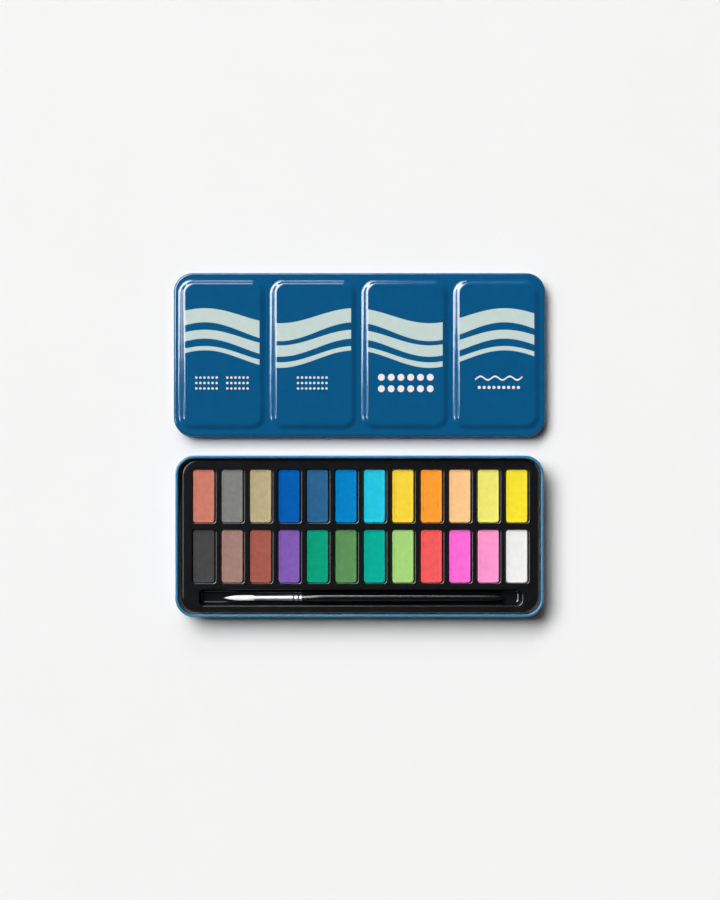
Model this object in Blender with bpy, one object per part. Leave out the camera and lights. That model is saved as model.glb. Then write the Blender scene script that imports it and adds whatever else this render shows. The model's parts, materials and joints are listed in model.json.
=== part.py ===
"""A watercolour set in a tin: the base tin, a moulded tray with 24 paint cakes, a brush and a lid.

Metres, +Z up. The origin is the centre of the base tin's underside, the length runs along X, and
the lid lies face up on the table behind the base, at +Y.
"""

from math import acos, cos, pi, sin, tau

import bmesh
import bpy

MM = 0.001
GAP = 0.3 * MM  # clearance between touching pieces

# Base tin: sheet, outer size over the wall, and the rim, rolled inwards into a bead
SHEET = 0.3 * MM
BASE_LENGTH = 225.2 * MM
BASE_WIDTH = 98.8 * MM
BASE_HEIGHT = 15.0 * MM
BASE_CORNER = 11.6 * MM
BASE_FOOT_RADIUS = 1.5 * MM
RIM_RADIUS = 0.92 * MM

# Lid tin: outer size over the wall, with the curled hem along its lower edge
LID_LENGTH = 228.4 * MM
LID_WIDTH = 100.6 * MM
LID_HEIGHT = 8.0 * MM
LID_CORNER = 11.8 * MM
LID_EDGE_RADIUS = 1.3 * MM
HEM_RADIUS = 0.5 * MM
HEM_PROUD = 0.4 * MM  # how far the hem stands out from the wall
LID_GAP = 11.6 * MM  # table between the base and the lid

# The lid's four embossed panels, which are the mixing wells seen from inside
PANELS = 4
PANEL_PITCH = 56.2 * MM
PANEL_LENGTH = 54.4 * MM
PANEL_WIDTH = 93.6 * MM
PANEL_CORNER = 9.2 * MM
PANEL_STEP = 4.7 * MM  # width of the S-shaped slope round each panel
PANEL_RISE = 1.4 * MM

# Moulded tray
TRAY_SHEET = 0.5 * MM
TRAY_SHIFT = 0.5 * MM  # the tray lies loose in the tin, towards +X
DECK_HEIGHT = 11.5 * MM  # top of the deck above the table
DECK_LENGTH = 216.8 * MM
DECK_WIDTH = 91.8 * MM
DECK_CORNER = 9.0 * MM
SHOULDER_SPREAD = 1.35 * MM  # the shoulder slopes out from the deck, then drops as a skirt
SHOULDER_DROP = 2.2 * MM
SHOULDER_CURVE = ((0.0, 0.0), (0.3, 0.05), (0.55, 0.25), (1.0, 1.0))  # shares of spread and drop
LIP = 0.3 * MM  # the bevel round each hollow's edge
WELL_DEPTH = 7.4 * MM
COLUMNS = 12
COLUMN_PITCH = 17.45 * MM
ROW_CENTRES = (24.5 * MM, -12.4 * MM)
WELL_LENGTH = 15.7 * MM
WELL_WIDTH = 34.1 * MM
WELL_CORNER = 2.4 * MM
WELL_DRAFT = 0.7 * MM
WELL_FOOT = 0.4 * MM
GROOVE_LENGTH = 199.6 * MM
GROOVE_WIDTH = 11.2 * MM
GROOVE_CORNER = 4.0 * MM
GROOVE_Y = -37.6 * MM
GROOVE_DRAFT = 1.0 * MM
GROOVE_FOOT = 1.2 * MM

# Paint cakes
CAKE_LENGTH = 13.1 * MM
CAKE_WIDTH = 32.6 * MM
CAKE_CORNER = 1.3 * MM
CAKE_BEVEL = 0.4 * MM
CAKE_BELOW_DECK = 1.2 * MM

# Brush: its pieces follow one another along X from the tip of the hair
BRUSH_TIP_X = -83.4 * MM
BRUSH_Y = -38.1 * MM
HAIR_LENGTH = 18.7 * MM
HAIR_RADIUS = 1.75 * MM
HAIR_MOUTH_RADIUS = 1.5 * MM
HAIR_TAPER = 0.78  # share of the length over which the bundle swells from its point
HAIR_ROOT_LENGTH = 8.0 * MM  # glued inside the ferrule
HAIR_ROOT_RADIUS = 0.9 * MM
FERRULE_LENGTH = 29.3 * MM
FERRULE_MOUTH_RADIUS = 1.5 * MM
FERRULE_TAIL_RADIUS = 2.1 * MM
FERRULE_WALL = 0.25 * MM
CRIMPS_FROM_TAIL = (4.7 * MM, 1.7 * MM)
CRIMP_DEPTH = 0.22 * MM
CRIMP_HALF_WIDTH = 0.6 * MM
HANDLE_LENGTH = 123.9 * MM
HANDLE_NECK_RADIUS = 2.1 * MM
HANDLE_RADIUS = 2.85 * MM
HANDLE_END_RADIUS = 2.25 * MM
HANDLE_SWELL_LENGTH = 14.0 * MM
TENON_LENGTH = 16.0 * MM  # the handle's thin end, crimped inside the ferrule
TENON_RADIUS = 1.0 * MM

# Name and display colour of each cake, from -X to +X, the back row first
BACK_ROW = (
    ("terracotta", (205, 125, 105)),
    ("gray", (130, 130, 129)),
    ("khaki", (188, 172, 132)),
    ("ultramarine", (0, 92, 176)),
    ("steel_blue", (44, 99, 143)),
    ("azure", (0, 131, 198)),
    ("cyan", (38, 198, 225)),
    ("warm_yellow", (249, 214, 62)),
    ("orange", (255, 158, 52)),
    ("peach", (255, 201, 142)),
    ("lemon", (240, 234, 115)),
    ("bright_yellow", (250, 229, 50)),
)
FRONT_ROW = (
    ("charcoal", (71, 71, 72)),
    ("mauve_brown", (163, 128, 119)),
    ("brick", (165, 92, 78)),
    ("violet", (129, 91, 177)),
    ("emerald", (6, 158, 122)),
    ("leaf_green", (92, 146, 89)),
    ("teal", (5, 173, 152)),
    ("light_green", (167, 215, 123)),
    ("coral", (246, 93, 93)),
    ("magenta", (255, 108, 215)),
    ("pink", (255, 153, 207)),
    ("white", (240, 240, 238)),
)

CORNER_STEPS = 6  # facets in each quarter of a tin's corner
WELL_CORNER_STEPS = 2
PANEL_CORNER_STEPS = 4
TURNED_SIDES = 20


def clear_scene():
    for old in list(bpy.data.objects):
        bpy.data.objects.remove(old)


def linear(channel):
    """One display channel, 0 to 255, as the linear value that a shader takes."""
    share = channel / 255
    return share / 12.92 if share <= 0.04045 else ((share + 0.055) / 1.055) ** 2.4


def make_material(name, colour, roughness, metallic=0.0):
    material = bpy.data.materials.new(name)
    material.use_nodes = True
    shader = material.node_tree.nodes["Principled BSDF"]
    shader.inputs["Base Color"].default_value = (*[linear(c) for c in colour], 1.0)
    shader.inputs["Roughness"].default_value = roughness
    shader.inputs["Metallic"].default_value = metallic
    return material


def make_object(name, bm, material, parent=None, location=(0.0, 0.0, 0.0)):
    mesh = bpy.data.meshes.new(name)
    bm.to_mesh(mesh)
    bm.free()
    mesh.materials.append(material)
    mesh.shade_smooth()
    mesh.set_sharp_from_angle(angle=pi / 5)
    made = bpy.data.objects.new(name, mesh)
    made.location = location
    made.parent = parent
    bpy.context.collection.objects.link(made)
    return made


def make_empty(name, location, parent=None):
    """A frame on a sliding joint's axis, to which the pieces that move together are parented."""
    frame = bpy.data.objects.new(name, None)
    frame.location = location
    frame.parent = parent
    bpy.context.collection.objects.link(frame)
    return frame


def rounded_rectangle(length, width, corner, steps):
    """The points of a rounded rectangle round the origin, anticlockwise."""
    points = []
    for quarter, (side_x, side_y) in enumerate(((1, 1), (-1, 1), (-1, -1), (1, -1))):
        centre_x = side_x * (length / 2 - corner)
        centre_y = side_y * (width / 2 - corner)
        for step in range(steps + 1):
            angle = (quarter + step / steps) * pi / 2
            points.append((centre_x + corner * cos(angle), centre_y + corner * sin(angle)))
    return points


def arc(centre_inset, centre_z, radius, start, end, steps):
    """Points (inset, z) of a profile's arc. Angles are in degrees, and 180 is the outer side."""
    angles = [(start + (end - start) * step / steps) * pi / 180 for step in range(steps + 1)]
    return [(centre_inset + radius * cos(a), centre_z + radius * sin(a)) for a in angles]


def add_ring(bm, points, z):
    verts = [bm.verts.new((x, y, z)) for x, y in points]
    for here, after in zip(verts, verts[1:] + verts[:1]):
        bm.edges.new((here, after))
    return verts


def bridge(bm, first, second):
    """Joins two rings of the same count by a band of quads."""
    count = len(first)
    for i in range(count):
        j = (i + 1) % count
        bm.faces.new((first[i], first[j], second[j], second[i]))


def outline_rings(bm, size, steps, profile, centre=(0.0, 0.0), first=None):
    """Rings of one rounded rectangle at each profile point (inset, z), each joined to the next.

    size is (length, width, corner). The first ring is joined to the ring passed as first, if any.
    """
    length, width, corner = size
    rings = [first] if first else []
    for inset, z in profile:
        points = rounded_rectangle(length - 2 * inset, width - 2 * inset, corner - inset, steps)
        ring = add_ring(bm, [(centre[0] + x, centre[1] + y) for x, y in points], z)
        if rings:
            bridge(bm, rings[-1], ring)
        rings.append(ring)
    return rings


def fill_between(bm, rings):
    """Fills a flat face bounded by the first ring, with every other ring as a hole in it."""
    edges = [bm.edges.get(pair) for ring in rings for pair in zip(ring, ring[1:] + ring[:1])]
    bmesh.ops.triangle_fill(bm, edges=edges, use_beauty=True)


def face_up(bm):
    """Turns an open sheet's faces the same way, with the top of its largest face outside."""
    bmesh.ops.recalc_face_normals(bm, faces=bm.faces)
    bm.normal_update()
    largest = max(bm.faces, key=lambda face: face.calc_area())
    if largest.normal.z < 0:
        bmesh.ops.reverse_faces(bm, faces=bm.faces)


def thicken(sheet, thickness):
    """Gives a sheet its thickness on the side away from its normals."""
    solidify = sheet.modifiers.new("Sheet thickness", "SOLIDIFY")
    solidify.thickness = thickness
    solidify.offset = -1.0
    solidify.use_even_offset = True


def base_profile():
    """The base tin's section (inset, z): up the outside, over the rolled rim, down to the floor."""
    rim_z = BASE_HEIGHT - RIM_RADIUS
    inner_radius = BASE_FOOT_RADIUS - SHEET
    rim_end = acos((SHEET - RIM_RADIUS) / RIM_RADIUS) * 180 / pi
    outside = arc(BASE_FOOT_RADIUS, BASE_FOOT_RADIUS, BASE_FOOT_RADIUS, 270, 180, 3)
    rim = arc(RIM_RADIUS, rim_z, RIM_RADIUS, 180, -rim_end, 12)
    inside = arc(BASE_FOOT_RADIUS, BASE_FOOT_RADIUS, inner_radius, 180, 270, 3)
    return outside + rim + inside


def make_base(material):
    bm = bmesh.new()
    size = (BASE_LENGTH, BASE_WIDTH, BASE_CORNER)
    rings = outline_rings(bm, size, CORNER_STEPS, base_profile())
    bm.faces.new(rings[0])
    bm.faces.new(rings[-1])
    bmesh.ops.recalc_face_normals(bm, faces=bm.faces)
    return make_object("base_tin", bm, material)


def panel_profile(steps):
    """The S-shaped slope (inset, z) from the lid's face up to a panel, without its first point."""
    shares = [step / steps for step in range(1, steps + 1)]
    return [(PANEL_STEP * t, LID_HEIGHT + PANEL_RISE * t * t * (3 - 2 * t)) for t in shares]


def make_hem(frame):
    """The curled hem that closes the lid's lower edge: a roll all round, joined on by a Boolean."""
    bm = bmesh.new()
    size = (LID_LENGTH, LID_WIDTH, LID_CORNER)
    roll = arc(HEM_RADIUS - HEM_PROUD, HEM_RADIUS, HEM_RADIUS, 0, 360, 8)[:-1]
    rings = outline_rings(bm, size, CORNER_STEPS, roll)
    bridge(bm, rings[-1], rings[0])
    bmesh.ops.recalc_face_normals(bm, faces=bm.faces)
    mesh = bpy.data.meshes.new("hem_roll")
    bm.to_mesh(mesh)
    bm.free()
    hem = bpy.data.objects.new("hem_roll", mesh)
    hem.parent = frame
    hem.hide_render = True
    hem.display_type = "WIRE"
    bpy.context.collection.objects.link(hem)
    return hem


def make_lid(material):
    frame = make_empty("lid_frame", (0.0, (BASE_WIDTH + LID_WIDTH) / 2 + LID_GAP, 0.0))
    bm = bmesh.new()
    size = (LID_LENGTH, LID_WIDTH, LID_CORNER)
    edge_z = LID_HEIGHT - LID_EDGE_RADIUS
    side = arc(LID_EDGE_RADIUS, edge_z, LID_EDGE_RADIUS, 90, 180, 3) + [(0.0, HEM_RADIUS)]
    rings = outline_rings(bm, size, CORNER_STEPS, side)
    panel_size = (PANEL_LENGTH, PANEL_WIDTH, PANEL_CORNER)
    panel_edges = []
    for number in range(PANELS):
        centre = ((number - (PANELS - 1) / 2) * PANEL_PITCH, 0.0)
        edge = outline_rings(bm, panel_size, PANEL_CORNER_STEPS, [(0.0, LID_HEIGHT)], centre)[0]
        slope = outline_rings(bm, panel_size, PANEL_CORNER_STEPS, panel_profile(4), centre, edge)
        bm.faces.new(slope[-1])
        panel_edges.append(edge)
    fill_between(bm, [rings[0]] + panel_edges)
    face_up(bm)
    lid = make_object("lid_tin", bm, material, frame)
    thicken(lid, SHEET)
    join = lid.modifiers.new("Curled hem", "BOOLEAN")
    join.operation = "UNION"
    join.solver = "EXACT"
    join.object = make_hem(frame)
    return lid


def hollow_profile(draft, foot):
    """A hollow's wall (inset, z): a soft lip at the deck, a drafted wall, and a turn to the floor."""
    depths = ((LIP, LIP), (draft, WELL_DEPTH - foot), (draft + foot, WELL_DEPTH))
    return [(inset, DECK_HEIGHT - depth) for inset, depth in depths]


def well_centres():
    """The centres of the wells in the tray's own frame, from -X to +X, the back row first."""
    columns = [(column - (COLUMNS - 1) / 2) * COLUMN_PITCH for column in range(COLUMNS)]
    return [(x, y) for y in ROW_CENTRES for x in columns]


def make_tray(material, frame):
    """The tray: one moulded sheet, its deck pierced by the wells and the groove, with a skirt."""
    bm = bmesh.new()
    skirt = [(-out * SHOULDER_SPREAD, DECK_HEIGHT - down * SHOULDER_DROP)
             for out, down in SHOULDER_CURVE]
    skirt.append((-SHOULDER_SPREAD, SHEET + GAP))
    deck_size = (DECK_LENGTH, DECK_WIDTH, DECK_CORNER)
    edges = [outline_rings(bm, deck_size, CORNER_STEPS, skirt)[0]]
    well_size = (WELL_LENGTH, WELL_WIDTH, WELL_CORNER)
    well_wall = hollow_profile(WELL_DRAFT, WELL_FOOT)
    hollows = [(well_size, well_wall, centre) for centre in well_centres()]
    groove_size = (GROOVE_LENGTH, GROOVE_WIDTH, GROOVE_CORNER)
    groove_wall = hollow_profile(GROOVE_DRAFT, GROOVE_FOOT)
    hollows.append((groove_size, groove_wall, (0.0, GROOVE_Y)))
    for size, wall, centre in hollows:
        edge = outline_rings(bm, size, WELL_CORNER_STEPS, [(0.0, DECK_HEIGHT)], centre)[0]
        rings = outline_rings(bm, size, WELL_CORNER_STEPS, wall, centre, edge)
        bm.faces.new(rings[-1])
        edges.append(edge)
    fill_between(bm, edges)
    face_up(bm)
    tray = make_object("pan_tray", bm, material, frame)
    thicken(tray, TRAY_SHEET)
    return tray


def make_cakes(frame):
    """The paint cakes: each a pressed block with draft and a small bevel round its top."""
    bottom = DECK_HEIGHT - WELL_DEPTH + GAP
    top = DECK_HEIGHT - CAKE_BELOW_DECK
    edge = arc(CAKE_BEVEL, top - CAKE_BEVEL, CAKE_BEVEL, 180, 90, 2)
    profile = [(CAKE_BEVEL, bottom)] + edge
    size = (CAKE_LENGTH, CAKE_WIDTH, CAKE_CORNER)
    for number, ((name, colour), centre) in enumerate(zip(BACK_ROW + FRONT_ROW, well_centres()), 1):
        bm = bmesh.new()
        rings = outline_rings(bm, size, WELL_CORNER_STEPS, profile)
        bm.faces.new(rings[0])
        bm.faces.new(rings[-1])
        bmesh.ops.recalc_face_normals(bm, faces=bm.faces)
        paint = make_material(f"paint_{name}", colour, 0.9)
        make_object(f"cake_{number:02d}_{name}", bm, paint, frame, (*centre, 0.0))


def turned(profile, closed=False):
    """A body turned about the X axis from points (x, radius), or a tube where closed is True."""
    bm = bmesh.new()
    verts = [bm.verts.new((x, 0.0, radius)) for x, radius in profile]
    edges = [bm.edges.new(pair) for pair in zip(verts, verts[1:])]
    if closed:
        edges.append(bm.edges.new((verts[-1], verts[0])))
    bmesh.ops.spin(bm, geom=verts + edges, cent=(0, 0, 0), axis=(1, 0, 0), angle=tau,
                   steps=TURNED_SIDES, use_merge=True)
    bmesh.ops.remove_doubles(bm, verts=bm.verts, dist=0.001 * MM)
    bmesh.ops.recalc_face_normals(bm, faces=bm.faces)
    return bm


def make_hair(material, frame):
    """The hair: a pointed round bundle whose root is glued inside the ferrule."""
    steps = 7
    profile = []
    for step in range(steps + 1):
        share = step / steps
        profile.append((share * HAIR_TAPER * HAIR_LENGTH, HAIR_RADIUS * sin(share * pi / 2) ** 0.8))
    mouth = HAIR_LENGTH - GAP
    root_end = HAIR_LENGTH + HAIR_ROOT_LENGTH
    profile += [
        (mouth, HAIR_MOUTH_RADIUS),
        (mouth, HAIR_ROOT_RADIUS),
        (root_end, HAIR_ROOT_RADIUS),
        (root_end, 0.0),
    ]
    return make_object("brush_hair", turned(profile), material, frame)


def ferrule_radius(x):
    """The ferrule's outer radius at x from its mouth: a cone, pressed in at each crimp."""
    growth = (FERRULE_TAIL_RADIUS - FERRULE_MOUTH_RADIUS) / FERRULE_LENGTH
    radius = FERRULE_MOUTH_RADIUS + growth * x
    for back in CRIMPS_FROM_TAIL:
        away = abs(FERRULE_LENGTH - back - x) / CRIMP_HALF_WIDTH
        radius -= CRIMP_DEPTH * max(0.0, 1 - away)
    return radius


def make_ferrule(material, frame):
    """The ferrule: one thin conical tube, open at both ends."""
    stations = {0.0, FERRULE_LENGTH}
    for back in CRIMPS_FROM_TAIL:
        middle = FERRULE_LENGTH - back
        stations |= {middle - CRIMP_HALF_WIDTH, middle, middle + CRIMP_HALF_WIDTH}
    outer = [(HAIR_LENGTH + x, ferrule_radius(x)) for x in sorted(stations)]
    inner = [(x, radius - FERRULE_WALL) for x, radius in reversed(outer)]
    return make_object("brush_ferrule", turned(outer + inner, closed=True), material, frame)


def make_handle(material, frame):
    """The handle: a thin tenon inside the ferrule, a swelling behind it and a long taper."""
    start = HAIR_LENGTH + FERRULE_LENGTH + GAP
    end = start + HANDLE_LENGTH - GAP
    swell_steps = 4
    end_steps = 4
    profile = [(start - TENON_LENGTH, 0.0), (start - TENON_LENGTH, TENON_RADIUS), (start, TENON_RADIUS)]
    for step in range(swell_steps + 1):
        share = step / swell_steps
        rise = (HANDLE_RADIUS - HANDLE_NECK_RADIUS) * sin(share * pi / 2)
        profile.append((start + share * HANDLE_SWELL_LENGTH, HANDLE_NECK_RADIUS + rise))
    for step in range(end_steps + 1):
        angle = step / end_steps * pi / 2
        past_taper = HANDLE_END_RADIUS * (sin(angle) - 1)
        profile.append((end + past_taper, HANDLE_END_RADIUS * cos(angle)))
    return make_object("brush_handle", turned(profile), material, frame)


def make_brush(tray_frame):
    """The brush lies on the groove's floor, its hair towards -X."""
    axis_z = DECK_HEIGHT - WELL_DEPTH + GAP + HANDLE_RADIUS
    frame = make_empty("brush_frame", (BRUSH_TIP_X - TRAY_SHIFT, BRUSH_Y, axis_z), tray_frame)
    make_hair(make_material("white_hair", (238, 237, 234), 0.6), frame)
    make_ferrule(make_material("silver_metal", (200, 200, 202), 0.25, 1.0), frame)
    make_handle(make_material("black_lacquer", (14, 14, 15), 0.15), frame)


def main():
    clear_scene()
    blue_tin = make_material("blue_tin", (10, 88, 137), 0.3)
    make_base(blue_tin)
    make_lid(blue_tin)
    tray_frame = make_empty("tray_frame", (TRAY_SHIFT, 0.0, 0.0))
    make_tray(make_material("black_plastic", (22, 22, 24), 0.3), tray_frame)
    make_cakes(tray_frame)
    make_brush(tray_frame)


main()
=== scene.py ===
"""Looks for the watercolour set: printed tins, a moulded tray, dry paint cakes and a brush.

Each piece is built finely over its CAD node and rides on that node's body. Metres throughout.
"""

import json
from math import cos, pi, radians, sin, tau
from random import Random

import bmesh
import bpy
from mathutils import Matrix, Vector, noise


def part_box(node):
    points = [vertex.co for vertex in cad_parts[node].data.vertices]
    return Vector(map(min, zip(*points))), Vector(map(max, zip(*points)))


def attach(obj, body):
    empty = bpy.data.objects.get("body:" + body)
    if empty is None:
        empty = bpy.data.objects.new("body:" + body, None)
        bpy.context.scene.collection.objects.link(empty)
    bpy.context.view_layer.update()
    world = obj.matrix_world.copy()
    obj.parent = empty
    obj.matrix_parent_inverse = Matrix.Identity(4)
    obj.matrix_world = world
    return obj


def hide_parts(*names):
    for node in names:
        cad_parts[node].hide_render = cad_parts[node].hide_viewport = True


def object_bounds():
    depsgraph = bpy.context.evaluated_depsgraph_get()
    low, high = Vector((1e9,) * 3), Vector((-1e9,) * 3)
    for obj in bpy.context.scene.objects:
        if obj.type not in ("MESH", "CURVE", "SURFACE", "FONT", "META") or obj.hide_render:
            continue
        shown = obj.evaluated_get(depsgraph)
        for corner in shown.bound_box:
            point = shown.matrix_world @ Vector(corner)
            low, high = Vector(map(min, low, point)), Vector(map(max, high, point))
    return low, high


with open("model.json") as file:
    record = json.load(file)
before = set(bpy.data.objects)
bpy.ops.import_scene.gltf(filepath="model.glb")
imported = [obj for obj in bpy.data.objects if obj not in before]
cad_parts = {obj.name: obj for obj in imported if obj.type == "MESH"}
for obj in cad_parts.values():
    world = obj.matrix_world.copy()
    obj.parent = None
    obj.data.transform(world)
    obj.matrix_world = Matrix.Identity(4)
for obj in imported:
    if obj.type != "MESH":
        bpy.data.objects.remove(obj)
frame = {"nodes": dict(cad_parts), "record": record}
CAD_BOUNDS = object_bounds()

MM = 0.001

# Sheet metal
SHEET = 0.3 * MM
TIN_CORNER_STEPS = 18
BASE_CORNER = 11.6 * MM
BASE_FOOT_RADIUS = 1.5 * MM
RIM_WIDTH = 1.75 * MM
RIM_BEND = 0.7 * MM
RIM_CURL_DEPTH = 2.2 * RIM_BEND  # from the rim's top to the centre of its lower bend
LID_CORNER = 11.8 * MM
LID_DECK_HEIGHT = 8.0 * MM
LID_EDGE_RADIUS = 1.3 * MM
HEM_RADIUS = 0.5 * MM
HEM_PROUD = 0.4 * MM
# The wall's last points (outwards, height) above the hem, in units of HEM_PROUD and HEM_RADIUS
HEM_FLARE = ((0.0, 2.8), (0.0, 2.3), (0.2, 2.0))

# The lid's embossed panels
PANELS = 4
PANEL_PITCH = 56.2 * MM
PANEL_LENGTH = 54.4 * MM
PANEL_WIDTH = 93.6 * MM
PANEL_CORNER = 9.2 * MM
PANEL_STEP = 4.7 * MM
PANEL_RISE = 1.4 * MM
PANEL_STEPS = 20
PANEL_BEND = 0.39

# Moulded tray
TRAY_SHEET = 0.5 * MM
DECK_HEIGHT = 11.5 * MM
DECK_LENGTH = 216.8 * MM
DECK_WIDTH = 91.8 * MM
DECK_CORNER = 9.0 * MM
SHOULDER_SPREAD = 1.35 * MM
SHOULDER_DROP = 2.2 * MM
HOLLOW_DEPTH = 7.4 * MM  # of the wells and the groove
WELL_LENGTH = 15.7 * MM
WELL_WIDTH = 34.1 * MM
WELL_CORNER = 2.4 * MM
WELL_LIP = 0.75 * MM
WELL_DRAFT = 0.95 * MM
WELL_FOOT = 0.5 * MM
GROOVE_LENGTH = 199.6 * MM
GROOVE_WIDTH = 11.2 * MM
GROOVE_CORNER = 4.0 * MM
GROOVE_LIP = 0.8 * MM
GROOVE_DRAFT = 1.2 * MM
GROOVE_FOOT = 2.2 * MM
GROOVE_Y = -37.6 * MM
DECK_CORNER_STEPS = 12
WELL_CORNER_STEPS = 6
GROOVE_CORNER_STEPS = 10
SHOULDER_STEPS = 8

# Paint cakes
CAKE_CORNER = 1.7 * MM
CAKE_BEVEL = 0.5 * MM
CAKE_SPACING = 0.9 * MM
CAKE_CHIP = 0.04 * MM  # how far its edge is worn at most
CAKE_UNDERSIDE_INSET = 0.45 * MM
CAKE_MIDDLE_INSET = 0.2 * MM
# The cake's top (inset, drop) in millimetres: a narrow raised border round a sunk middle
CAKE_TOP = ((0.75, 0.0), (1.05, 0.0), (1.25, 0.06), (1.45, 0.13), (1.7, 0.15), (2.6, 0.15),
            (3.8, 0.15), (5.0, 0.15), (6.1, 0.15))
# The unevenness of its top, in millimetres: a dish, (waves per millimetre, height) and a drop
CAKE_DISH = 0.05
CAKE_WAVES = ((0.16, 0.09), (0.7, 0.03))
CAKE_DROP = 0.06
CAKE_NOISE_GAP = 0.05  # metres between two cakes' places in the noise

# Brush: its hair's shares are of the full radius, or of the length from the mouth to the tip
TURNED_SIDES = 48
POINT_RADIUS = 0.001 * MM  # a turned body that is no wider than this at one place ends in a point
HAIR_ROOT_RADIUS = 0.9 * MM
HAIR_MOUTH_RADIUS_SHARE = 0.93
HAIR_CORE_RADIUS_SHARE = 0.97
HAIR_FULL_AT = 0.25
HAIR_CLOSES_FROM = 0.2
HAIR_CLOSING_POWER = 3.0
HAIR_CORE_STEPS = 24
HAIR_CORE_SIDES = 24
HAIR_CORE_SHORT = 0.3 * MM  # how far the core stops before the tip
STRAND_ROOM = 0.15 * MM  # kept free outside the bundle for the strands' thickness
STRANDS = 260
HAIR_SEED = 7
STRAND_SIDES = 5
STRAND_STEPS = 10
STRAND_OUT = (0.95, 1.0)  # (least, most) of the radius, and so on below
STRAND_ENDS = (0.80, 1.0)
STRAND_THICKNESS = (0.035 * MM, 0.06 * MM)
STRAND_TWIST = 0.10  # radians round the bundle at most
STRAND_THINNING = 0.85
CRIMPS_FROM_TAIL = (4.7 * MM, 1.7 * MM)
CRIMP_DEPTH = 0.34 * MM
CRIMP_HALF_WIDTH = 0.75 * MM
FERRULE_WALL = 0.25 * MM
FERRULE_TAPER = 0.6 * MM
FERRULE_STEPS = 90
HANDLE_GAP = 0.3 * MM
HANDLE_TENON_RADIUS = 1.0 * MM
HANDLE_NECK_RADIUS = 2.1 * MM
HANDLE_END_RADIUS = 2.25 * MM
HANDLE_SWELL_LENGTH = 14.0 * MM
HANDLE_TAPER_POWER = 1.3
HANDLE_STEPS = 12
HANDLE_END_STEPS = 10

# Print, in millimetres: places on the lid are from its centre
WAVE_LENGTH = 92
WAVE_START = 26.0
WAVE_SWING = 5.2
WAVE_THINNING = 0.12
WAVES = ((19.0, 4.9), (7.4, 3.1), (-1.2, 1.5))  # (middle, half width)
# Blocks of dots: area (left, bottom, right, top), pitch (across, up) and radius
DOT_BLOCKS = (
    ((-101.4, -22.4, -86.4, -12.4), (2.5, 3.34), 0.72),
    ((-82.4, -22.4, -67.4, -12.4), (2.5, 3.34), 0.72),
    ((-39.0, -22.4, -19.0, -12.4), (2.5, 3.34), 0.72),
    ((10.4, -24.4, 46.4, -10.4), (6.0, 7.0), 2.1),
    ((72.0, -21.6, 99.0, -18.6), (3.0, 3.0), 0.95),
)
SQUIGGLE_MIDDLE = (85.5, -14.4)
SQUIGGLE_HALF_LENGTH = 14.5
SQUIGGLE_WAVE_LENGTH = 9
SQUIGGLE_SWING = 1.1
SQUIGGLE_HALF_WIDTH = 0.5
PRINT_EDGE = 0.14
PRINT_OVERRUN = 0.4  # how far the print runs onto the slopes at a panel's ends
RIM_HIGHLIGHT_DEPTH = 2.05  # how far below the base's rim its painted highlight, a paler blue, gives way to the deep ink

# Colours as linear values
TIN_BLUE = (0.0004, 0.083, 0.214)
# A paler blue painted on the base's rolled rim as a painted highlight
RIM_HIGHLIGHT_BLUE = (0.026, 0.185, 0.360)
PRINT_MINT = (0.52, 0.63, 0.60)
PRINT_WHITE = (0.80, 0.76, 0.73)
ENAMEL_WHITE = (0.80, 0.80, 0.78)
TRAY_BLACK = (0.0062, 0.0068, 0.0082)
LACQUER_BLACK = (0.0035, 0.0035, 0.0038)
HAIR_WHITE = (0.96, 0.96, 0.95)
FERRULE_SILVER = (0.83, 0.83, 0.84)
PIGMENT_DUST = (0.10, 0.10, 0.11)
FLOOR_WHITE = (0.79, 0.79, 0.79)
WORLD_WARM = (1.0, 0.94, 0.86)
CAKE_SHADE = 0.86  # from a cake's colour in the record to its colour here

# Studio
FLOOR_HALF_LENGTH = 6.0
FLOOR_GAP = 0.05 * MM
SOFTBOX_HEIGHT = 60.0
SOFTBOX_TURN = radians(5)
# (name, nearest corner, lengths, power, whether it lights matt surfaces), as in make_softbox
SOFTBOXES = (
    ("key_edge", (-0.19, 0.13), (0.2, 0.99), 12000.0, True),
    ("key", (-0.389, 0.13), (0.75, 1.11), 114000.0, True),
    ("key_far", (0.0, 0.95), (0.3, 0.35), 8500.0, True),
    ("side_near", (-1.42, 0.08), (0.3, 0.6), 9200.0, True),
    ("back", (0.15, 1.60), (0.65, 0.4), 34000.0, True),
    ("gloss_strip", (-0.19, 0.02), (0.95, 0.11), 11500.0, False),
    ("lip_strip", (-0.5, -0.16), (0.4, 0.15), 6800.0, False),
)
WORLD_LOW = (radians(75), 0.08)  # (angle from straight up, strength)
WORLD_OVERHEAD = (radians(35), 0.03)
CAMERA_PLACE = (0.3 * MM, 52.8 * MM, 1.25)
CAMERA_SENSOR = 36.0
FIELD_HEIGHT = 553.1 * MM  # what the picture shows from bottom to top, at the level below
FIELD_LEVEL = 7.5 * MM


# ---------------------------------------------------------------- materials


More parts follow.
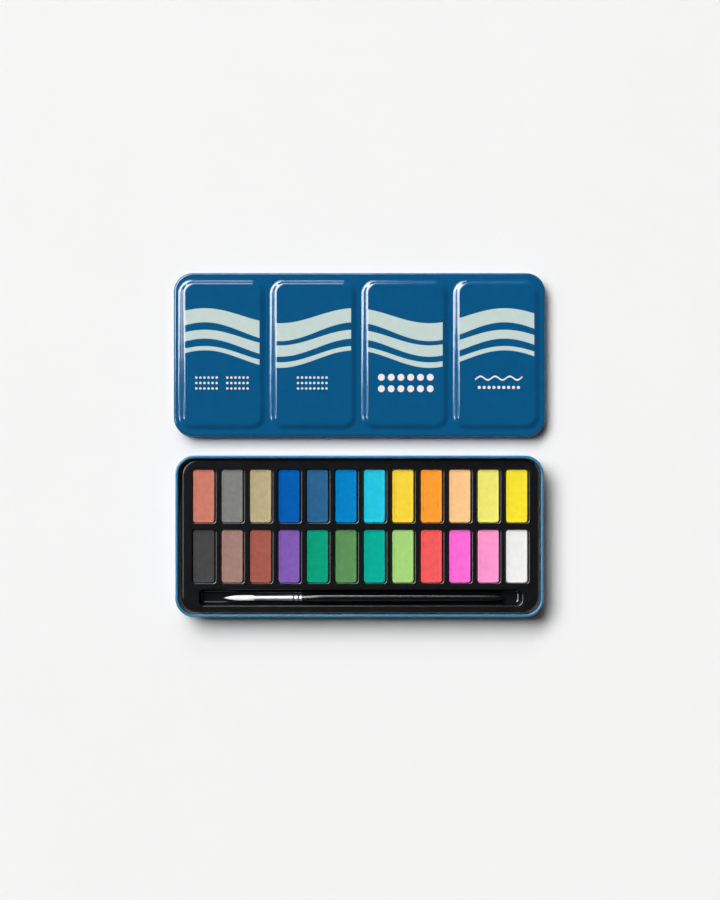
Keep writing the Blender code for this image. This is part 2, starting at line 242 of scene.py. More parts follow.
class Field:
    """A number that varies over a surface. Arithmetic on it adds math nodes to its graph."""

    def __init__(self, graph, socket):
        self.graph = graph
        self.socket = socket

    def __add__(self, other):
        return self.graph.math("ADD", self, other)

    def __sub__(self, other):
        return self.graph.math("SUBTRACT", self, other)

    def __rsub__(self, other):
        return self.graph.math("SUBTRACT", other, self)

    def __mul__(self, other):
        return self.graph.math("MULTIPLY", self, other)

    def __truediv__(self, other):
        return self.graph.math("DIVIDE", self, other)

    def __mod__(self, other):
        return self.graph.math("FLOORED_MODULO", self, other)

    def __abs__(self):
        return self.graph.math("ABSOLUTE", self)

    def wave(self):
        return self.graph.math("SINE", self)

    def root(self):
        return self.graph.math("SQRT", self)

    def smaller(self, other):
        return self.graph.math("MINIMUM", self, other)

    def larger(self, other):
        return self.graph.math("MAXIMUM", self, other)

    def clamped(self):
        held = self.graph.math("ADD", self, 0.0)
        held.socket.node.use_clamp = True
        return held

    def contrasted(self, gain):
        """The same from 0 to 1, but steeper about its middle."""
        return ((self - 0.5) * gain + 0.5).clamped()


class Graph:
    """One material's nodes: a Principled shader and short calls for what feeds it.

    The plain roughness shows only where nothing feeds it, and in viewers that don't read nodes.
    """

    def __init__(self, name, roughness, metallic=0.0, specular=0.5, coat=0.0, coat_roughness=0.1):
        self.material = bpy.data.materials.new(name)
        self.material.use_nodes = True
        self.tree = self.material.node_tree
        self.shader = self.tree.nodes["Principled BSDF"]
        self.shader.inputs["Roughness"].default_value = roughness
        self.shader.inputs["Metallic"].default_value = metallic
        self.shader.inputs["Specular IOR Level"].default_value = specular
        self.shader.inputs["Coat Weight"].default_value = coat
        self.shader.inputs["Coat Roughness"].default_value = coat_roughness
        self.place = self.tree.nodes.new("ShaderNodeTexCoord").outputs["Object"]

    def feed(self, value, socket):
        """Links a Field or a socket to an input, or stores a plain number there."""
        if isinstance(value, Field):
            value = value.socket
        if isinstance(value, bpy.types.NodeSocket):
            self.tree.links.new(value, socket)
        else:
            socket.default_value = value

    def math(self, operation, first, second=None):
        """A math node's result from one or two Fields or numbers."""
        node = self.tree.nodes.new("ShaderNodeMath")
        node.operation = operation
        self.feed(first, node.inputs[0])
        if second is not None:
            self.feed(second, node.inputs[1])
        return Field(self, node.outputs["Value"])

    def along(self, axis):
        """The surface's place along one axis of the frame, in metres."""
        split = self.tree.nodes.new("ShaderNodeSeparateXYZ")
        self.tree.links.new(self.place, split.inputs["Vector"])
        return Field(self, split.outputs[axis])

    def stretched(self, stretch):
        """The surface's coordinates, scaled along each axis, for streaks."""
        node = self.tree.nodes.new("ShaderNodeMapping")
        self.tree.links.new(self.place, node.inputs["Vector"])
        node.inputs["Scale"].default_value = stretch
        return node.outputs["Vector"]

    def noise(self, size, detail=2.0, stretch=None):
        """Noise from 0 to 1 whose features are about size metres across."""
        node = self.tree.nodes.new("ShaderNodeTexNoise")
        self.tree.links.new(self.stretched(stretch) if stretch else self.place, node.inputs["Vector"])
        node.inputs["Scale"].default_value = 1 / size
        node.inputs["Detail"].default_value = detail
        return Field(self, node.outputs["Fac"])

    def mix(self, share, first, second):
        """A colour between two colours, each a linear triple or a colour socket."""
        node = self.tree.nodes.new("ShaderNodeMix")
        node.data_type = "RGBA"
        self.feed(share, node.inputs["Factor"])
        inputs = [socket for socket in node.inputs if socket.type == "RGBA"]
        for colour, socket in zip((first, second), inputs):
            self.feed((*colour, 1.0) if isinstance(colour, tuple) else colour, socket)
        return next(socket for socket in node.outputs if socket.type == "RGBA")

    def colour(self, socket):
        self.feed(socket, self.shader.inputs["Base Color"])

    def roughness(self, field):
        self.feed(field, self.shader.inputs["Roughness"])

    def bump(self, height, distance, below=None):
        """Adds relief to the shading. height runs from 0 to 1, and distance is in metres."""
        node = self.tree.nodes.new("ShaderNodeBump")
        node.inputs["Distance"].default_value = distance
        self.feed(height, node.inputs["Height"])
        if below is not None:
            self.feed(below, node.inputs["Normal"])
        self.feed(node.outputs["Normal"], self.shader.inputs["Normal"])
        return node.outputs["Normal"]


def shade(colour, factor):
    """The colour made darker or lighter by a factor."""
    return tuple(min(1.0, channel * factor) for channel in colour)


def mottled(graph, colour, spread, size, detail=3.0):
    """A colour that drifts lighter and darker by spread, in patches about size across."""
    patches = graph.noise(size, detail).contrasted(2.2)
    return graph.mix(patches, shade(colour, 1 - spread), shade(colour, 1 + spread))


def wave_distance(u, v, middle, half_width):
    """How far a point is outside one printed wave, in millimetres."""
    swing = ((u + WAVE_START) * (tau / WAVE_LENGTH)).wave()
    thinning = swing * WAVE_THINNING * half_width
    return abs(v - (swing * WAVE_SWING + middle)) - (half_width - thinning)


def dots_distance(u, v, area, pitch, radius):
    """Rows of round dots that fill an area (left, bottom, right, top), in millimetres."""
    left, bottom, right, top = area
    du = (u - left) % pitch[0] - pitch[0] / 2
    dv = (v - bottom) % pitch[1] - pitch[1] / 2
    dots = (du * du + dv * dv).root() - radius
    outside = abs(u - (left + right) / 2) - (right - left) / 2
    outside = outside.larger(abs(v - (bottom + top) / 2) - (top - bottom) / 2)
    return dots.larger(outside)


def squiggle_distance(u, v):
    """How far a point is outside the short wavy line, in millimetres."""
    middle_u, middle_v = SQUIGGLE_MIDDLE
    swing = (u * (tau / SQUIGGLE_WAVE_LENGTH)).wave() * SQUIGGLE_SWING
    line = abs(v - (swing + middle_v)) - SQUIGGLE_HALF_WIDTH
    return line.larger(abs(u - middle_u) - SQUIGGLE_HALF_LENGTH)


def nearest(distances):
    """The distance from the nearest of several printed shapes."""
    least, *others = distances
    for distance in others:
        least = least.smaller(distance)
    return least


def covered(distance):
    """1 inside a printed shape and 0 outside, over a soft edge."""
    return (0.5 - distance / PRINT_EDGE).clamped()


def lid_print(graph, lid_centre):
    """Cover of the mint ink, waves cut at each panel, and of the white ink, dots and a squiggle."""
    u = (graph.along("X") - lid_centre.x) / MM
    v = (graph.along("Y") - lid_centre.y) / MM
    pitch = PANEL_PITCH / MM
    across = (u + PANELS / 2 * pitch) % pitch - pitch / 2
    flat_length = (PANEL_LENGTH / 2 - PANEL_STEP) / MM + PRINT_OVERRUN
    flat_width = (PANEL_WIDTH / 2 - PANEL_STEP) / MM
    off_panel = (abs(across) - flat_length).larger(abs(v) - flat_width)
    mint = nearest([wave_distance(u, v, *wave) for wave in WAVES])
    white = [dots_distance(u, v, *block) for block in DOT_BLOCKS]
    white = nearest(white + [squiggle_distance(u, v)])
    return covered(mint.larger(off_panel)), covered(white.larger(off_panel))


def varnished(graph, ink, waviness):
    """Printed tinplate under clear varnish: a glossy surface, uneven by waviness in metres."""
    grain = ((graph.noise(0.3 * MM, 1.0) - 0.55) * 0.1).clamped()
    graph.colour(graph.mix(grain, ink, PRINT_MINT))
    graph.roughness(graph.noise(5 * MM, 3.0) * 0.05 + graph.noise(0.4 * MM, 1.0) * 0.03 + 0.035)
    wavy = graph.bump(graph.noise(11 * MM, 1.0), waviness)
    graph.bump(graph.noise(0.9 * MM, 2.0), 0.0016 * MM, wavy)
    return graph.material


def lid_material(lid_centre):
    """The lid's ink: blue, with the mint and the white print over it."""
    graph = Graph("printed_lid", 0.08, specular=0.9)
    mint, white = lid_print(graph, lid_centre)
    ink = mottled(graph, TIN_BLUE, 0.05, 9 * MM)
    ink = graph.mix(mint, ink, mottled(graph, PRINT_MINT, 0.025, 3 * MM))
    return varnished(graph, graph.mix(white, ink, PRINT_WHITE), 0.035 * MM)


def base_material(rim_top):
    """The base's blue ink, with a paler blue painted along the rolled rim as a painted highlight."""
    graph = Graph("printed_base", 0.08, specular=0.9)
    below_top = (rim_top - graph.along("Z")) / MM
    # Painted highlight: the top of the rim is painted a paler blue that fades into the deep ink lower
    # down
    rim_highlight = (RIM_HIGHLIGHT_DEPTH - below_top + graph.noise(3 * MM, 2.0) * 0.2).clamped()
    deep = mottled(graph, TIN_BLUE, 0.05, 9 * MM)
    highlight_blue = mottled(graph, RIM_HIGHLIGHT_BLUE, 0.08, 2 * MM)
    return varnished(graph, graph.mix(rim_highlight, deep, highlight_blue), 0.008 * MM)


def enamel_material():
    """White enamel on the insides of the tins."""
    graph = Graph("white_enamel", 0.25, coat=0.2, coat_roughness=0.08)
    graph.colour(mottled(graph, ENAMEL_WHITE, 0.03, 14 * MM))
    graph.roughness(graph.noise(4 * MM, 3.0) * 0.14 + 0.16)
    graph.bump(graph.noise(0.8 * MM, 2.0), 0.002 * MM)
    return graph.material


def tray_material():
    """Black moulded sheet plastic: wavy, with a fine haze and a few specks of pigment dust."""
    graph = Graph("moulded_black", 0.16, specular=0.75)
    dust = ((graph.noise(0.35 * MM, 2.0) - 0.70) * 9.0).clamped() * 0.25
    graph.colour(graph.mix(dust, mottled(graph, TRAY_BLACK, 0.25, 6 * MM), PIGMENT_DUST))
    graph.roughness(graph.noise(2.4 * MM, 4.0) * 0.08 + 0.075)
    wavy = graph.bump(graph.noise(8 * MM, 2.0), 0.03 * MM)
    graph.bump(graph.noise(1.2 * MM, 1.0), 0.002 * MM, wavy)
    return graph.material


def paint_material(name, colour):
    """A dry pressed paint cake: matt, mottled and faintly gritty, and more even if it is pale."""
    graph = Graph(f"dry_{name}", 0.92, specular=0.06)
    luminance = 0.21 * colour[0] + 0.72 * colour[1] + 0.07 * colour[2]
    spread = 0.2 * (1 - 0.9 * luminance)
    body = mottled(graph, colour, spread, 3.6 * MM, 5.0)
    grit = graph.noise(0.45 * MM, 3.0).contrasted(2.4)
    speckled = graph.mix(grit, shade(colour, 1 - spread), shade(colour, 1 + spread))
    graph.colour(graph.mix(0.45, body, speckled))
    graph.roughness(graph.noise(0.6 * MM, 2.0) * 0.12 + 0.84)
    soft = graph.bump(graph.noise(2.2 * MM, 3.0), 0.07 * MM)
    graph.bump(graph.noise(0.28 * MM, 3.0), 0.03 * MM, soft)
    return graph.material


def hair_material():
    """Fine white nylon filament, faintly streaked along its length."""
    graph = Graph("nylon_hair", 0.42, specular=0.45)
    streaks = graph.noise(0.16 * MM, 2.0, stretch=(0.06, 1.0, 1.0))
    graph.colour(graph.mix(streaks, shade(HAIR_WHITE, 0.94), shade(HAIR_WHITE, 1.04)))
    graph.roughness(streaks * 0.2 + 0.32)
    graph.bump(streaks, 0.01 * MM)
    return graph.material


def ferrule_material():
    """Polished drawn metal with fine rings left by turning, and faint handling marks."""
    graph = Graph("drawn_silver", 0.22, metallic=1.0)
    rings = graph.noise(0.12 * MM, 2.0, stretch=(1.0, 0.04, 0.04))
    graph.colour(graph.mix(rings, shade(FERRULE_SILVER, 0.90), FERRULE_SILVER))
    graph.roughness(graph.noise(1.6 * MM, 3.0) * 0.08 + rings * 0.06 + 0.34)
    graph.bump(rings, 0.001 * MM)
    return graph.material


def lacquer_material():
    """Black lacquer over turned wood: slight orange peel and a soft gloss."""
    graph = Graph("black_lacquer", 0.18, specular=1.0)
    graph.colour(mottled(graph, LACQUER_BLACK, 0.2, 5 * MM))
    graph.roughness(graph.noise(3 * MM, 3.0) * 0.06 + 0.12)
    grain = graph.bump(graph.noise(0.9 * MM, 1.0, stretch=(0.05, 1.0, 1.0)), 0.003 * MM)
    graph.bump(graph.noise(1.6 * MM, 1.0), 0.002 * MM, grain)
    return graph.material


# ---------------------------------------------------------------- shapes


def rounded_rectangle(length, width, corner, steps, spacing=None):
    """Points round a rounded rectangle, anticlockwise, with points along its sides if spaced."""
    points = []
    for quarter, (side_x, side_y) in enumerate(((1, 1), (-1, 1), (-1, -1), (1, -1))):
        centre = Vector((side_x * (length / 2 - corner), side_y * (width / 2 - corner)))
        for step in range(steps + 1):
            angle = (quarter + step / steps) * pi / 2
            points.append(centre + corner * Vector((cos(angle), sin(angle))))
    if spacing is None:
        return points
    spaced = []
    for here, after in zip(points, points[1:] + points[:1]):
        parts = max(1, round((after - here).length / spacing))
        spaced += [here.lerp(after, part / parts) for part in range(parts)]
    return spaced


def arc(centre_inset, centre_z, radius, start, end, steps):
    """Points (inset, z) of a section's arc. Angles are in degrees, and 180 is the outer side."""
    angles = [radians(start + (end - start) * step / steps) for step in range(steps + 1)]
    return [(centre_inset + radius * cos(a), centre_z + radius * sin(a)) for a in angles]


def add_ring(bm, points, z):
    """A closed ring of edges through points at one height."""
    verts = [bm.verts.new((x, y, z)) for x, y in points]
    for here, after in zip(verts, verts[1:] + verts[:1]):
        bm.edges.new((here, after))
    return verts


def bridge(bm, first, second):
    """Faces between two rings that have as many vertices as each other, or one of which is a point."""
    count = max(len(first), len(second))
    for i in range(count):
        j = (i + 1) % count
        corners = [first[i % len(first)], first[j % len(first)]]
        corners += [second[j % len(second)], second[i % len(second)]]
        bm.faces.new(list(dict.fromkeys(corners)))


def outline_rings(bm, size, steps, section, centre):
    """Rings of one rounded rectangle at each section point (inset, z), each joined to the next."""
    length, width, corner = size
    rings = []
    for inset, z in section:
        points = rounded_rectangle(length - 2 * inset, width - 2 * inset, corner - inset, steps)
        ring = add_ring(bm, [(centre[0] + x, centre[1] + y) for x, y in points], z)
        if rings:
            bridge(bm, rings[-1], ring)
        rings.append(ring)
    return rings


def fill_between(bm, rings):
    """Fills a flat face bounded by the first ring, with every other ring as a hole in it."""
    edges = [bm.edges.get(pair) for ring in rings for pair in zip(ring, ring[1:] + ring[:1])]
    bmesh.ops.triangle_fill(bm, edges=edges, use_beauty=True)


def face_along(bm, direction):
    """Turns an open sheet's faces the same way, with its largest face looking along direction."""
    bmesh.ops.recalc_face_normals(bm, faces=bm.faces)
    bm.normal_update()
    largest = max(bm.faces, key=lambda face: face.calc_area())
    if largest.normal.dot(direction) < 0:
        bmesh.ops.reverse_faces(bm, faces=bm.faces)


def make_piece(name, bm, materials, slot, body, *nodes, smooth_below=35):
    """The finished piece: smooth shaded, on its body, and standing for its CAD nodes."""
    mesh = bpy.data.meshes.new(name)
    bm.to_mesh(mesh)
    bm.free()
    for material in materials:
        mesh.materials.append(material)
    mesh.shade_smooth()
    mesh.set_sharp_from_angle(angle=radians(smooth_below))
    piece = bpy.data.objects.new(name, mesh)
    bpy.context.scene.collection.objects.link(piece)
    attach(piece, body)
    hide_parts(*nodes)
    return piece


def thicken(piece, thickness, inside_slot=0):
    """Gives a sheet its thickness behind its faces, and lets flat faces set their own normals."""
    solidify = piece.modifiers.new("Sheet thickness", "SOLIDIFY")
    solidify.thickness = thickness
    solidify.offset = -1.0
    solidify.use_even_offset = True
    solidify.material_offset = inside_slot
    weighted = piece.modifiers.new("Flat faces stay flat", "WEIGHTED_NORMAL")
    weighted.keep_sharp = True


def turned(section, sides, closed=False):
    """A body turned about the X axis from points (x, radius), or a tube where closed is True."""
    bm = bmesh.new()
    rings = []
    for x, radius in section:
        turns = [side / sides * tau for side in range(sides if radius > POINT_RADIUS else 1)]
        rings.append([bm.verts.new((x, -radius * sin(a), radius * cos(a))) for a in turns])
    for first, second in zip(rings, rings[1:]):
        bridge(bm, first, second)
    if closed:
        bridge(bm, rings[-1], rings[0])
    bmesh.ops.recalc_face_normals(bm, faces=bm.faces)
    return bm


def centre_of(node):
    low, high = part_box(node)
    return (low + high) / 2


# ---------------------------------------------------------------- pieces


def make_base(materials):
    """The base tin: one drawn sheet whose rim is rolled inwards, blue outside and white inside."""
    low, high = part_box("base_tin")
    section = arc(BASE_FOOT_RADIUS, BASE_FOOT_RADIUS, BASE_FOOT_RADIUS, 270, 180, 7)
    section += arc(RIM_BEND, high.z - RIM_BEND, RIM_BEND, 180, 98, 9)
    section += arc(RIM_WIDTH - RIM_BEND, high.z - RIM_BEND, RIM_BEND, 82, -20, 10)
    section += arc(RIM_WIDTH - RIM_BEND, high.z - RIM_CURL_DEPTH, RIM_BEND, -20, -110, 8)
    bm = bmesh.new()
    size = (high.x - low.x, high.y - low.y, BASE_CORNER)
    rings = outline_rings(bm, size, TIN_CORNER_STEPS, section, centre_of("base_tin"))
    bm.faces.new(rings[0])
    face_along(bm, Vector((0, 0, -1)))
    piece = make_piece("base_shell", bm, materials, "blue_tin", "base", "base_tin")
    thicken(piece, SHEET, inside_slot=1)


def ramp(share, bend):
    """A rise from 0 to 1 that is straight but for a round bend at each end, bend of it long."""
    if share > 0.5:
        return 1 - ramp(1 - share, bend)
    steepness = 1 / (1 - bend)
    if share < bend:
        return steepness * share ** 2 / (2 * bend)
    return steepness * (share - bend / 2)


def make_lid(materials):
    """The lid: one drawn sheet, embossed with four panels and curled in along its lower edge."""
    low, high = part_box("lid_tin")
    centre = centre_of("lid_tin")
    size = (high.x - low.x - 2 * HEM_PROUD, high.y - low.y - 2 * HEM_PROUD, LID_CORNER)
    edge_z = LID_DECK_HEIGHT - LID_EDGE_RADIUS
    section = arc(LID_EDGE_RADIUS, edge_z, LID_EDGE_RADIUS, 90, 180, 10)
    section += [(-outwards * HEM_PROUD, height * HEM_RADIUS) for outwards, height in HEM_FLARE]
    section += arc(HEM_RADIUS - HEM_PROUD, HEM_RADIUS, HEM_RADIUS, 140, 395, 16)
    bm = bmesh.new()
    rings = outline_rings(bm, size, TIN_CORNER_STEPS, section, centre)
    panel_size = (PANEL_LENGTH, PANEL_WIDTH, PANEL_CORNER)
    shares = [step / PANEL_STEPS for step in range(PANEL_STEPS + 1)]
    slope = [(PANEL_STEP * t, LID_DECK_HEIGHT + PANEL_RISE * ramp(t, PANEL_BEND)) for t in shares]
    edges = [rings[0]]
    for number in range(PANELS):
        x = centre.x + (number - (PANELS - 1) / 2) * PANEL_PITCH
        panel = outline_rings(bm, panel_size, TIN_CORNER_STEPS, slope, (x, centre.y))
        bm.faces.new(panel[-1])
        edges.append(panel[0])
    fill_between(bm, edges)
    face_along(bm, Vector((0, 0, 1)))
    piece = make_piece("lid_shell", bm, materials, "blue_tin", "lid", "lid_tin")
    thicken(piece, SHEET, inside_slot=1)


def hollow_section(lip, draft, foot):
    """A moulded hollow's wall (inset, z): a round lip, a drafted wall and a round foot."""
    section = arc(lip, DECK_HEIGHT - lip, lip, 90, 180, 5)
    section = [(lip - inset, z) for inset, z in section]
    floor_z = DECK_HEIGHT - HOLLOW_DEPTH
    turn = arc(draft + foot, floor_z + foot, foot, 180, 270, 6)
    return section + turn


def make_tray(material, well_centres):
    """The tray: one moulded sheet with a well for each cake, a groove, a shoulder and a skirt."""
    low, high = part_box("pan_tray")
    centre = centre_of("pan_tray")
    skirt = [(-SHOULDER_SPREAD * sin(a), DECK_HEIGHT - SHOULDER_DROP * (1 - cos(a)))
             for a in (step / SHOULDER_STEPS * pi / 2 for step in range(SHOULDER_STEPS + 1))]
    skirt.append((-SHOULDER_SPREAD, low.z))
    bm = bmesh.new()
    deck_size = (DECK_LENGTH, DECK_WIDTH, DECK_CORNER)
    edges = [outline_rings(bm, deck_size, DECK_CORNER_STEPS, skirt, centre)[0]]
    well = ((WELL_LENGTH, WELL_WIDTH, WELL_CORNER), WELL_CORNER_STEPS,
            hollow_section(WELL_LIP, WELL_DRAFT, WELL_FOOT))
    groove = ((GROOVE_LENGTH, GROOVE_WIDTH, GROOVE_CORNER), GROOVE_CORNER_STEPS,
              hollow_section(GROOVE_LIP, GROOVE_DRAFT, GROOVE_FOOT))
    hollows = [(*well, place) for place in well_centres]
    hollows.append((*groove, Vector((centre.x, GROOVE_Y))))
    for size, steps, section, place in hollows:
        rings = outline_rings(bm, size, steps, section, place)
        bm.faces.new(rings[-1])
        edges.append(rings[0])
    fill_between(bm, edges)
    face_along(bm, Vector((0, 0, 1)))
    piece = make_piece("tray_shell", bm, [material], "black_plastic", "tray", "pan_tray")
    thicken(piece, TRAY_SHEET)


def cake_height(x, y, across, seed):
    """How far a cake's top stands off flat at one place: a faint dish and an uneven surface."""
    half_length, half_width = across
    dish = (x / half_length) ** 2 + (y / half_width) ** 2
    place = Vector((x, y, seed * CAKE_NOISE_GAP)) / MM
    uneven = sum(noise.noise(place * rate) * height for rate, height in CAKE_WAVES)
    return (CAKE_DISH * dish + uneven - CAKE_DROP) * MM


def paint_name(node):
    """The paint's name, from its cake's node such as cake_01_red."""
    return node.split("_", 2)[2]


def make_cake(node, number, colour):
    """One paint cake: a drafted block with slightly worn edges and a sunk, uneven top."""
    low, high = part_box(node)
    centre = (low + high) / 2
    length, width = high.x - low.x, high.y - low.y
    section = [(CAKE_UNDERSIDE_INSET, low.z), (CAKE_MIDDLE_INSET, centre.z)]
    section += arc(CAKE_BEVEL, high.z - CAKE_BEVEL, CAKE_BEVEL, 180, 90, 5)
    section += [(inset * MM, high.z - drop * MM) for inset, drop in CAKE_TOP]
    rim = rounded_rectangle(length, width, CAKE_CORNER, 5, CAKE_SPACING)
    random = Random(number)
    chips = [random.random() * CAKE_CHIP for _ in rim]
    bm = bmesh.new()
    rings = []
    for inset, z in section:
        on_top = z > high.z - CAKE_BEVEL
        ring = []
        for (x, y), chip in zip(rim, chips):
            inward = inset + chip if on_top else inset
            x *= 1 - 2 * inward / length
            y *= 1 - 2 * inward / width
            lift = cake_height(x, y, (length / 2, width / 2), number) if on_top else 0.0
            ring.append(bm.verts.new((centre.x + x, centre.y + y, z + lift)))
        if rings:
            bridge(bm, rings[-1], ring)
        rings.append(ring)
    bm.faces.new(rings[0])
    bm.faces.new(rings[-1])
    bmesh.ops.recalc_face_normals(bm, faces=bm.faces)
    name = paint_name(node)
    material = paint_material(name, colour)
    make_piece(f"paint_{number:02d}_{name}", bm, [material], f"paint_{name}", "tray", node,
               smooth_below=60)


def make_ferrule(material):
    """The ferrule: a thin conical tube that is pressed in at two crimp rings near its tail."""
    low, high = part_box("brush_ferrule")
    centre = centre_of("brush_ferrule")
    tail_radius = (high.z - low.z) / 2
    mouth_radius = tail_radius - FERRULE_TAPER
    length = high.x - low.x
    outer = []
    for step in range(FERRULE_STEPS + 1):
        x = length * step / FERRULE_STEPS
        radius = mouth_radius + (tail_radius - mouth_radius) * x / length
        for back in CRIMPS_FROM_TAIL:
            away = abs(length - back - x) / CRIMP_HALF_WIDTH
            if away < 1:
                radius -= CRIMP_DEPTH * (1 + cos(pi * away)) / 2
        outer.append((x, radius))
    inner = [(x, radius - FERRULE_WALL) for x, radius in reversed(outer)]
    bm = turned(outer + inner, TURNED_SIDES, closed=True)
    bmesh.ops.translate(bm, verts=bm.verts, vec=(low.x, centre.y, centre.z))
    make_piece("ferrule_tube", bm, [material], "silver_metal", "brush", "brush_ferrule")


def make_handle(material):
    """The handle: a tenon, a swelling behind the ferrule, a long taper and a round end."""
    low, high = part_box("brush_handle")
    centre = centre_of("brush_handle")
    ferrule_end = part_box("brush_ferrule")[1].x
    full_radius = (high.z - low.z) / 2
    start = ferrule_end + HANDLE_GAP
    taper_start = start + HANDLE_SWELL_LENGTH
    taper_length = high.x - HANDLE_END_RADIUS - taper_start
    section = [(low.x, 0.0), (low.x, HANDLE_TENON_RADIUS), (start, HANDLE_TENON_RADIUS)]
    for step in range(HANDLE_STEPS + 1):
        share = step / HANDLE_STEPS
        rise = (full_radius - HANDLE_NECK_RADIUS) * sin(share * pi / 2)
        section.append((start + share * HANDLE_SWELL_LENGTH, HANDLE_NECK_RADIUS + rise))
    for step in range(1, HANDLE_STEPS + 1):
        share = step / HANDLE_STEPS
        fall = (full_radius - HANDLE_END_RADIUS) * share ** HANDLE_TAPER_POWER
        section.append((taper_start + share * taper_length, full_radius - fall))
    for step in range(1, HANDLE_END_STEPS + 1):
        angle = step / HANDLE_END_STEPS * pi / 2
        x = high.x - HANDLE_END_RADIUS * (1 - sin(angle))
        section.append((x, HANDLE_END_RADIUS * cos(angle)))
    bm = turned(section, TURNED_SIDES)
    bmesh.ops.translate(bm, verts=bm.verts, vec=(0.0, centre.y, centre.z))
    make_piece("handle_body", bm, [material], "black_lacquer", "brush", "brush_handle")


def hair_radius(share, full):
    """The bundle's radius at a share of its length from the ferrule's mouth to the tip."""
    swelling = sin(min(1.0, share / HAIR_FULL_AT) * pi / 2)
    swell = HAIR_MOUTH_RADIUS_SHARE + (1 - HAIR_MOUTH_RADIUS_SHARE) * swelling
    closing = max(0.0, (share - HAIR_CLOSES_FROM) / (1 - HAIR_CLOSES_FROM))
    return full * swell * (1 - closing ** HAIR_CLOSING_POWER)


def add_strand(bm, random, mouth, length, full):
    """One strand on the outside of the bundle, from the ferrule's mouth to near the tip."""
    turn = random.random() * tau
    out = random.uniform(*STRAND_OUT)
    ends = random.uniform(*STRAND_ENDS)
    thickness = random.uniform(*STRAND_THICKNESS)
    rings = []
    for step in range(STRAND_STEPS + 1):
        share = step / STRAND_STEPS
        along = share * ends
        radius = out * hair_radius(along, full)
        angle = turn + STRAND_TWIST * share * sin(turn * 3)
        place = mouth + Vector((-length * along, cos(angle) * radius, sin(angle) * radius))
        thin = thickness * (1 - STRAND_THINNING * share ** 2)
        ring = []
        for side in range(STRAND_SIDES):
            a = side / STRAND_SIDES * tau
            ring.append(bm.verts.new(place + Vector((0.0, cos(a) * thin, sin(a) * thin))))
        if rings:
            bridge(bm, rings[-1], ring)
        rings.append(ring)
    bm.faces.new(rings[0])
    bm.faces.new(rings[-1])


def make_hair(material):
    """The hair: a core and many fine strands that swell out of the ferrule and meet in a point."""
    low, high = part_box("brush_hair")
    centre = centre_of("brush_hair")
    full = (high.z - low.z) / 2 - STRAND_ROOM
    mouth_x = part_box("brush_ferrule")[0].x
    length = mouth_x - low.x
    core = [(high.x, 0.0), (high.x, HAIR_ROOT_RADIUS), (mouth_x, HAIR_ROOT_RADIUS)]
    for step in range(HAIR_CORE_STEPS):
        share = step / HAIR_CORE_STEPS
        core.append((mouth_x - length * share, HAIR_CORE_RADIUS_SHARE * hair_radius(share, full)))
    core.append((low.x + HAIR_CORE_SHORT, 0.0))
    bm = turned(core, HAIR_CORE_SIDES)
    bmesh.ops.translate(bm, verts=bm.verts, vec=(0.0, centre.y, centre.z))
    random = Random(HAIR_SEED)
    for _ in range(STRANDS):
        add_strand(bm, random, Vector((mouth_x, centre.y, centre.z)), length, full)
    bmesh.ops.recalc_face_normals(bm, faces=bm.faces)
    make_piece("brush_bristles", bm, [material], "white_hair", "brush", "brush_hair")


# ---------------------------------------------------------------- studio


def make_floor():
    """A wide sheet of matt paper just under the tins."""
    mesh = bpy.data.meshes.new("studio_floor")
    bm = bmesh.new()
    bmesh.ops.create_grid(bm, x_segments=8, y_segments=8, size=FLOOR_HALF_LENGTH)
    bm.to_mesh(mesh)
    bm.free()
    graph = Graph("matt_paper", 0.9, specular=0.1)
    graph.colour(mottled(graph, FLOOR_WHITE, 0.004, 80 * MM))
    graph.bump(graph.noise(0.6 * MM, 2.0), 0.01 * MM)
    mesh.materials.append(graph.material)
    floor = bpy.data.objects.new("studio_floor", mesh)
    floor.location.z = CAD_BOUNDS[0].z - FLOOR_GAP
    bpy.context.scene.collection.objects.link(floor)


def make_softbox(name, corner, lengths, power, lights_matt):
    """A level softbox high above, placed by tangents of angles from straight up.

    corner is its nearest corner as (x, y) per unit of height. lengths are its sides on the same
    scale: the first runs towards -X, the second towards +Y, and both are turned by SOFTBOX_TURN.
    One that doesn't light matt surfaces only shows as a reflection.
    """
    data = bpy.data.lights.new(name, "AREA")
    data.shape = "RECTANGLE"
    data.size, data.size_y = (length * SOFTBOX_HEIGHT for length in lengths)
    data.energy = power
    light = bpy.data.objects.new(name, data)
    leftward = Vector((-cos(SOFTBOX_TURN), sin(SOFTBOX_TURN)))
    backward = Vector((sin(SOFTBOX_TURN), cos(SOFTBOX_TURN)))
    middle = Vector(corner) + leftward * lengths[0] / 2 + backward * lengths[1] / 2
    light.location = (*(middle * SOFTBOX_HEIGHT), SOFTBOX_HEIGHT)
    light.rotation_euler.z = -SOFTBOX_TURN
    light.visible_diffuse = lights_matt
    bpy.context.scene.collection.objects.link(light)


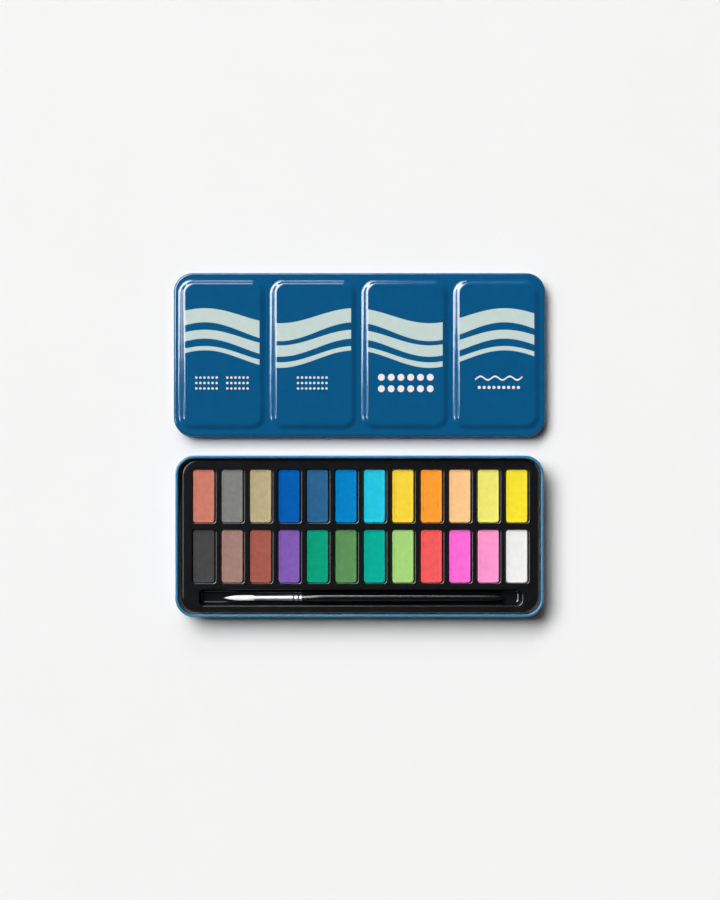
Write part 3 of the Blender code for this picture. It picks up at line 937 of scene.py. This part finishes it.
def make_world():
    """Dim surroundings that are dark overhead, where the camera hangs, and paler lower down."""
    world = bpy.data.worlds.new("studio")
    bpy.context.scene.world = world
    world.use_nodes = True
    nodes, links = world.node_tree.nodes, world.node_tree.links
    split = nodes.new("ShaderNodeSeparateXYZ")
    links.new(nodes.new("ShaderNodeTexCoord").outputs["Generated"], split.inputs["Vector"])
    fade = nodes.new("ShaderNodeMapRange")
    fade.interpolation_type = "SMOOTHSTEP"
    for end, (angle, strength) in (("Min", WORLD_LOW), ("Max", WORLD_OVERHEAD)):
        fade.inputs[f"From {end}"].default_value = cos(angle)
        fade.inputs[f"To {end}"].default_value = strength
    links.new(split.outputs["Z"], fade.inputs["Value"])
    background = nodes["Background"]
    background.inputs["Color"].default_value = (*WORLD_WARM, 1.0)
    links.new(fade.outputs["Result"], background.inputs["Strength"])


def make_camera():
    """Straight down from above the middle of the picture, between the base and the lid."""
    data = bpy.data.cameras.new("camera")
    height = CAMERA_PLACE[2]
    field_on_table = FIELD_HEIGHT * height / (height - FIELD_LEVEL)
    data.sensor_width = CAMERA_SENSOR
    data.lens = data.sensor_width * height / field_on_table
    data.clip_start, data.clip_end = 0.01, 50.0
    camera = bpy.data.objects.new("camera", data)
    camera.location = CAMERA_PLACE
    bpy.context.scene.collection.objects.link(camera)
    bpy.context.scene.camera = camera


def main():
    make_camera()
    lid_centre = centre_of("lid_tin")
    enamel = enamel_material()
    make_base([base_material(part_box("base_tin")[1].z), enamel])
    make_lid([lid_material(lid_centre), enamel])
    cakes = sorted(name for name in frame["nodes"] if name.startswith("cake_"))
    make_tray(tray_material(), [centre_of(node).xy for node in cakes])
    colours = {m["slot"]: m["base_color"] for m in frame["record"]["materials"]}
    for number, node in enumerate(cakes, 1):
        make_cake(node, number, shade(colours[f"paint_{paint_name(node)}"][:3], CAKE_SHADE))
    make_hair(hair_material())
    make_ferrule(ferrule_material())
    make_handle(lacquer_material())
    make_floor()
    for softbox in SOFTBOXES:
        make_softbox(*softbox)
    make_world()
    bpy.context.scene.view_settings.view_transform = "Standard"


main()
